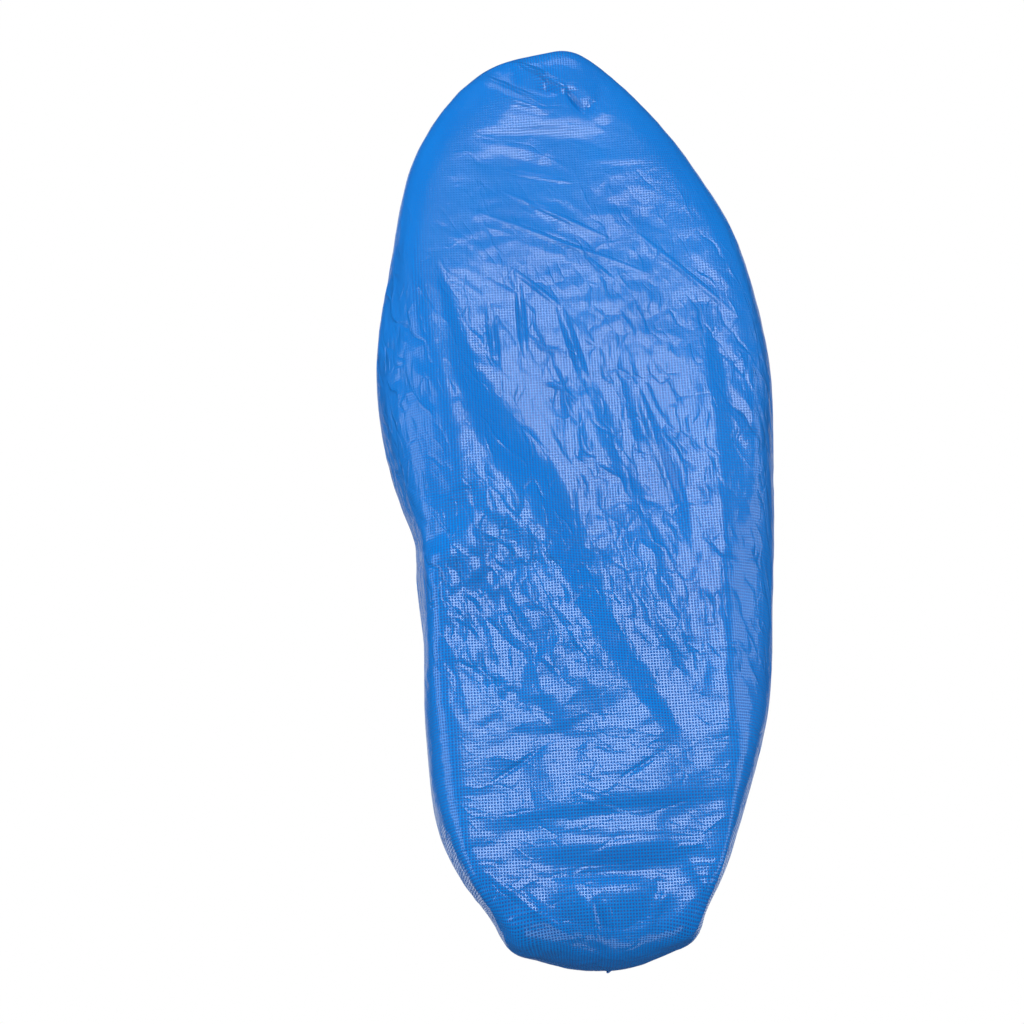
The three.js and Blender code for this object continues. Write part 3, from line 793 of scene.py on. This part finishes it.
for sharp in SHARP_CREASES:
    start, end = (on_film(pixel) for pixel in sharp["ends"])
    step = end - start
    local = add_node(tree, "ShaderNodeMapping", {
        "Vector": coords, "Location": (*((start + end) / 2), 0),
        "Rotation": (0, 0, math.atan2(step[1], step[0])),
        "Scale": (math.hypot(*step) / 2, sharp["half_width"], 1)}, vector_type="TEXTURE")
    hill = add_node(tree, "ShaderNodeTexGradient", {"Vector": local}, gradient_type="SPHERICAL").node
    crumple = add_node(tree, "ShaderNodeMath", {
        0: hill.outputs["Fac"], 1: sharp["rise"], 2: crumple}, operation="MULTIPLY_ADD")
crumpled = add_node(tree, "ShaderNodeBump", {"Strength": 1, "Distance": MM, "Height": crumple})
embossed = add_node(tree, "ShaderNodeBump", {
    "Strength": 1, "Distance": PIT_DEPTH * MM, "Height": between, "Normal": crumpled})
shader = add_node(tree, "ShaderNodeBsdfPrincipled", {
    "Base Color": colour, "Roughness": roughness, "IOR": 1.51, "Specular IOR Level": 0.36,
    "Normal": embossed})
add_node(tree, "ShaderNodeOutputMaterial", {"Surface": shader})
film.data.materials.append(film_finish)
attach(film, "root")
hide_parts("film_shell")


# The hem: the film's edge, turned in over the elastic and welded down, so that it makes a slim
# casing all round the opening. The elastic draws it up into small uneven ruffles.
HEM_STEPS = 16               # round its section
HEM_FINENESS = 2             # columns of the hem to each column of the film
HEM_LOW = -1.4               # its lower and upper edges, from the rim upwards
HEM_HIGH = 6.4
LOW_WAVE = 0.3
HIGH_WAVE = 0.5
HEM_IN = -3.0                # its inner side, from the rim outwards
HEM_CLEAR = 0.15             # its outer side, past the film's gathers
HEM_BELLY = 0.5              # how much further that side swells at half its height
FRILL_IN = -2.8              # where its upper edge lies between gathers
FRILL_STEP = 0.03            # how far on the frill follows a gather, in radians round the rim
RUFFLE_LEAN = 0.045
HEM_ROUND = 3.2              # film to each radian round the section
ring_size = 2 * COLUMNS * HEM_FINENESS


def round_ring(left, right):
    """Values all round the rim at the hem's own columns, from those of its two sides."""
    both = np.concatenate((left, right[-2::-1]))
    spots = np.arange(ring_size) / HEM_FINENESS
    return np.stack([np.interp(spots, np.arange(len(both)), values) for values in both.T], axis=1)


hem_ring = round_ring(left_half[:, -1], right_half[:, -1])
hem_out = round_ring(level_out(left_half[:, -1], -1), level_out(right_half[:, -1], 1))
hem_angle = round_ring(rim_angle[:, None], 2 * np.pi - rim_angle[:, None])[:, 0]
hem_travelled = lengths_along(hem_ring)


def hem_place(column, row):
    """The hem's section is a flattened tube, whose outside follows the gathers."""
    j = column % ring_size
    about = 2 * np.pi * (row % HEM_STEPS) / HEM_STEPS
    level, upright = math.cos(about), math.sin(about)
    out_share = 0.5 + 0.5 * math.copysign(abs(level) ** (0.4 if upright < 0 else 0.9), level)
    up_share = 0.5 + 0.5 * math.copysign(abs(upright) ** 0.8, upright)
    angle = hem_angle[j]
    leaning = angle + RUFFLE_LEAN * math.sin(13 * angle + 1) * up_share
    belly = HEM_BELLY * math.sin(math.pi * up_share)
    outer = gather_at(leaning) * (1 - 0.2 * up_share) + HEM_CLEAR + belly
    inner = HEM_IN - 0.3 * gather_at(angle + 0.5)
    frill = FRILL_IN + 0.8 * gather_at(leaning + 2 / 3 * FRILL_STEP)
    top = HEM_HIGH + 0.45 * gather_at(leaning + FRILL_STEP) + HIGH_WAVE * math.sin(21 * angle + 0.7)
    low = HEM_LOW + LOW_WAVE * math.sin(33 * angle)
    out = mix(mix(inner, outer, out_share), frill, 0.85 * up_share ** 4)
    place = hem_ring[j] + (hem_out[j][0] * out, hem_out[j][1] * out, mix(low, top, up_share))
    return place, (hem_travelled[j], about * HEM_ROUND)


hem = grid_piece("hem_ruffle", ring_size, HEM_STEPS, hem_place, True)
hem.data.materials.append(film_finish)
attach(hem, "root")
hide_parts("hem_casing")

# The elastic: a thin flat band of extruded rubber, matt and finely grained, that runs loose
# inside the hem. It keeps the CAD solid's shape, because the hem hides it.
band_finish, tree = new_material("synthetic rubber, extruded")
coords = add_node(tree, "ShaderNodeTexCoord").node.outputs["Object"]
grain = add_node(tree, "ShaderNodeTexNoise", {"Vector": coords, "Scale": 900, "Detail": 2})
tint = add_node(tree, "ShaderNodeMix", {
    "Factor": grain, 6: linear("#dfe3e8"), 7: linear("#f1f3f5")}, data_type="RGBA")
ribbed = add_node(tree, "ShaderNodeBump", {"Strength": 0.4, "Distance": 0.1 * MM, "Height": grain})
shader = add_node(tree, "ShaderNodeBsdfPrincipled", {
    "Base Color": tint, "Roughness": 0.75, "IOR": 1.52, "Normal": ribbed})
add_node(tree, "ShaderNodeOutputMaterial", {"Surface": shader})
for slot in bpy.data.objects["elastic_band"].material_slots:
    slot.material = band_finish

# The welds: up the toe and the heel the two halves of the film are welded edge to edge. What is
# left outside each weld is a thin wavy fin, which flares at the corner of the toe.
WELD_EDGE = 3                # how far a fin stands off the film
HEEL_EDGE = 1
CORNER_EAR = 6               # and how far where it flares, at the corner of the toe
EAR_LENGTH = 40
FIN_RISE = 14                # the length over which a fin comes out of the film
FIN_STEPS = 6
FIN_FINENESS = 4             # columns of a fin to each row of the film
FIN_THICKNESS = 0.35
FIN_DEPTH = 0.6              # how far its root reaches into the film
FLATTEST_LEAN = 1.3          # in radians from upright
corner_row = int(np.argmax(half_rows >= CORNER_LOOP))


def weld_fin(name, node, column, ear, wave, lie, start):
    """A fin along the film's seam at a column, which flares to the width of ear at its lower end.
    wave is how far it sways and lie how far its edge leans over sideways. start is the share of
    its width that shows at the corner of the sole, and is below 0 where it comes out higher up."""
    seam = film_places[column, HALF + corner_row:]
    along = np.gradient(seam, axis=0)
    out = np.stack([np.zeros(len(seam)), along[:, 2], -along[:, 1]], axis=1)
    out[out[:, 1] * seam[:, 1] < 0] *= -1
    out /= norm(out, axis=1)[:, None]
    travelled = lengths_along(seam)
    flare = np.clip(1 - travelled / EAR_LENGTH, 0, 1) ** 2
    begun = np.clip(start + travelled / FIN_RISE, 0, 1)
    ruffled = 0.4 * np.sin(travelled / 2.3) + 0.3 * np.sin(travelled / 1.1 + 1)
    full_edge = mix(min(WELD_EDGE, ear), ear, flare) + min(1, ear / WELD_EDGE) * ruffled
    edge = mix(-0.5, full_edge, begun)
    leans = lie * begun

    def place_at(i, row):
        share = row / FIN_STEPS
        spots = range(len(seam))
        here = i / FIN_FINENESS
        spot, away = (np.array([np.interp(here, spots, values[:, k]) for k in range(3)])
                      for values in (seam, out))
        length, height, lean = (np.interp(here, spots, values) for values in (travelled, edge, leans))
        sway = wave * (math.sin(length / 3.1) + 0.6 * math.sin(length / 7.7 + 1)) * share ** 1.5
        over = lean * share ** 1.3
        leaning = min(abs(over) / max(height, 0.1), FLATTEST_LEAN)
        rise = height * share * math.cos(leaning) - FIN_DEPTH * (1 - share)
        sideways = min(height, WELD_EDGE) / WELD_EDGE * sway + over
        return spot + away * rise + (sideways, 0, 0), (length, height * share)

    fin = grid_piece(name, FIN_FINENESS * (len(seam) - 1), FIN_STEPS, place_at, False)
    give_thickness(fin, FIN_THICKNESS)
    fin.data.materials.append(film_finish)
    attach(fin, "root")
    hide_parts(node)
    return fin


toe_fin = weld_fin("toe_weld", "toe_seam", COLUMNS, CORNER_EAR, wave=0.9, lie=5, start=1)
heel_fin = weld_fin("heel_weld", "heel_seam", 0, HEEL_EDGE, wave=0.2, lie=-1.3, start=-1.2)

# The studio: a pale floor, a key light below that only shines on the sole, a smaller fill light
# that only shades its folds, and soft lights all round for the sides and the opening.
FLOOR_HEIGHT = -1.25
FLOOR_HALF = 4
floor_mesh = bmesh.new()
bmesh.ops.create_grid(floor_mesh, x_segments=1, y_segments=1, size=FLOOR_HALF)
bmesh.ops.translate(floor_mesh, verts=floor_mesh.verts, vec=(0, 0, FLOOR_HEIGHT))
floor_data = bpy.data.meshes.new("floor")
floor_mesh.to_mesh(floor_data)
floor_mesh.free()
floor = bpy.data.objects.new("floor", floor_data)
scene.collection.objects.link(floor)
floor_finish, tree = new_material("painted board, matt")
coords = add_node(tree, "ShaderNodeTexCoord").node.outputs["Object"]
mottle = add_node(tree, "ShaderNodeTexNoise", {"Vector": coords, "Scale": 3, "Detail": 3})
paint = add_node(tree, "ShaderNodeMix", {
    "Factor": mottle, 6: linear("#f2f2f4"), 7: linear("#f8f8f9")}, data_type="RGBA")
shader = add_node(tree, "ShaderNodeBsdfPrincipled", {"Base Color": paint, "Roughness": 0.8})
add_node(tree, "ShaderNodeOutputMaterial", {"Surface": shader})
floor.data.materials.append(floor_finish)
floor.visible_glossy = False

MIDDLE = (0, 0, 0.04)
LIGHTS = [
    dict(name="key", at=(0.034, -0.22, -0.85), aim=(0.034, -0.22, 0), size=(0.42, 0.47), radiance=10.2),
    dict(name="fill", at=(-0.25, -0.75, -0.80), aim=(0, 0, 0.03), size=(0.35, 0.35), radiance=20),
    dict(name="left", at=(-1.2, 0.05, -0.3), aim=MIDDLE, size=(1.1, 0.8), radiance=3.2),
    dict(name="right", at=(1.2, 0.05, -0.3), aim=MIDDLE, size=(1.1, 0.8), radiance=3.2),
    dict(name="front", at=(0, -1.3, -0.3), aim=MIDDLE, size=(0.8, 0.4), radiance=2.5),
    dict(name="back", at=(0, 1.3, -0.3), aim=MIDDLE, size=(0.8, 0.6), radiance=2.5),
    dict(name="backdrop", at=(0, -0.46, 1.42), aim=MIDDLE, size=(1.3, 1.3), radiance=0.8),
]
for light in LIGHTS:
    lamp = bpy.data.lights.new(light["name"], "AREA")
    lamp.shape = "RECTANGLE"
    lamp.size, lamp.size_y = light["size"]
    lamp.energy = light["radiance"] * math.pi * lamp.size * lamp.size_y
    lamp_object = bpy.data.objects.new(light["name"], lamp)
    place = Vector(light["at"])
    turned = (Vector(light["aim"]) - place).to_track_quat("-Z", "Y").to_matrix().to_4x4()
    lamp_object.matrix_world = Matrix.Translation(place) @ turned
    lamp_object.visible_camera = False
    lamp_object.visible_diffuse = light["name"] != "key"
    lamp_object.visible_glossy = light["name"] != "fill"
    scene.collection.objects.link(lamp_object)

# The room is white to the camera, grey on what it lights and nearly black in what shines, so
# that only the lights show in the gloss.
ROOM_LIGHT = 0.42
ROOM_SHINE = 0.03
world = bpy.data.worlds.new("studio")
world.use_nodes = True
world.node_tree.nodes.clear()
tree = world.node_tree
ray = add_node(tree, "ShaderNodeLightPath").node
lit = add_node(tree, "ShaderNodeMapRange", {
    "Value": ray.outputs["Is Glossy Ray"], "To Min": ROOM_LIGHT, "To Max": ROOM_SHINE})
strength = add_node(tree, "ShaderNodeMix", {"Factor": ray.outputs["Is Camera Ray"], 2: lit, 3: 1},
                    data_type="FLOAT")
white = add_node(tree, "ShaderNodeBackground", {"Color": (1, 1, 1, 1), "Strength": strength})
add_node(tree, "ShaderNodeOutputWorld", {"Surface": white})
scene.world = world
scene.view_settings.view_transform = "Standard"
